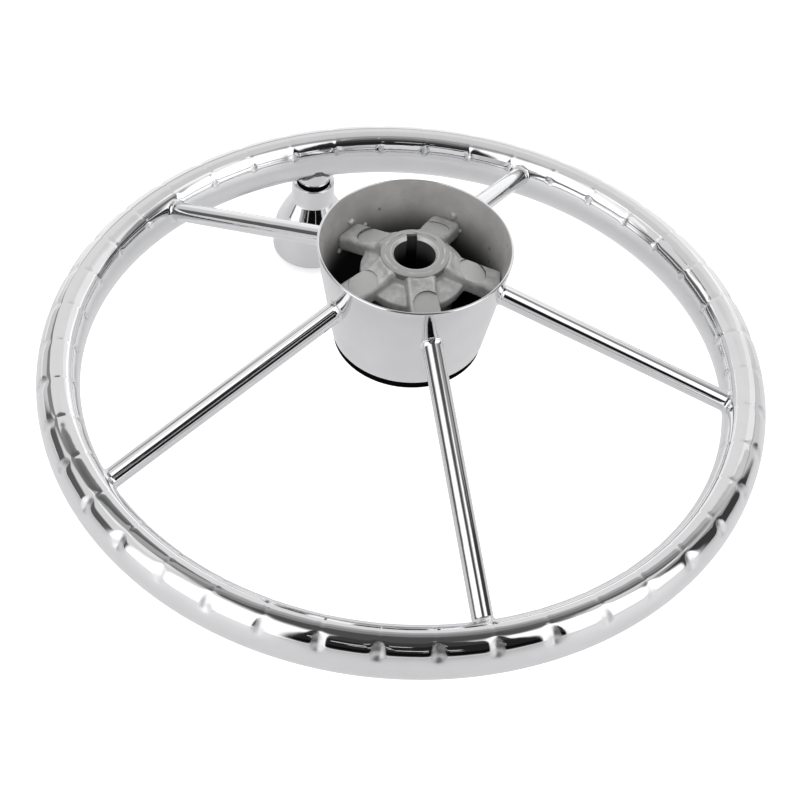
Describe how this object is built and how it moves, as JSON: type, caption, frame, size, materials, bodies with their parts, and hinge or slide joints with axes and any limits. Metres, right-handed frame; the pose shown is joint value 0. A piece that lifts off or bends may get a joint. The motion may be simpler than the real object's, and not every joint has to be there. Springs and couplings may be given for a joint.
{
  "type": "boat steering wheel",
  "caption": "Dished metal steering wheel for a boat: a gripped oval ring on straight spokes, a deep conical hub cup, a tapered keyed bore and a turning knob.",
  "frame": {"origin": "middle of the mouth of the tapered bore, on the boss's back face", "axes": "+Z along the wheel's axis to its back, where the helm shaft enters; -Y along the first spoke; the steersman's side is -Z"},
  "size_m": [0.343, 0.353, 0.1522],
  "materials": {
    "polished_steel": "mirror polished stainless steel",
    "cup_steel": "polished outside, matt pressed sheet inside",
    "cast_steel": "cast with machined faces",
    "plain_steel": "turned",
    "black_rubber": "moulded, matt",
    "nylon": "turned"
  },
  "bodies": {
    "wheel": {"rim": "polished_steel", "spoke_1": "polished_steel", "spoke_2": "polished_steel", "spoke_3": "polished_steel", "spoke_4": "polished_steel", "spoke_5": "polished_steel", "hub_cup": "cup_steel", "hub_spider": "cast_steel", "knob_boss": "polished_steel", "knob_seal": "black_rubber", "knob_stud": "plain_steel", "knob_washer": "plain_steel", "knob_locknut": "plain_steel"},
    "knob": {"knob_body": "polished_steel", "knob_bush_upper": "nylon", "knob_bush_lower": "nylon", "knob_end_cap": "polished_steel"},
    "cap": {"centre_cap": "polished_steel", "cap_ring": "black_rubber"}
  },
  "joints": [
    {"name": "knob_spin", "type": "hinge", "parent": "wheel", "child": "knob", "pos_m": [-0.01126, 0.16101, -0.0955], "axis": [0, 0, 1], "continuous": true},
    {"name": "cap_pull", "type": "slide", "parent": "wheel", "child": "cap", "axis": [0, 0, -1], "range_m": [0, 0.03]}
  ]
}
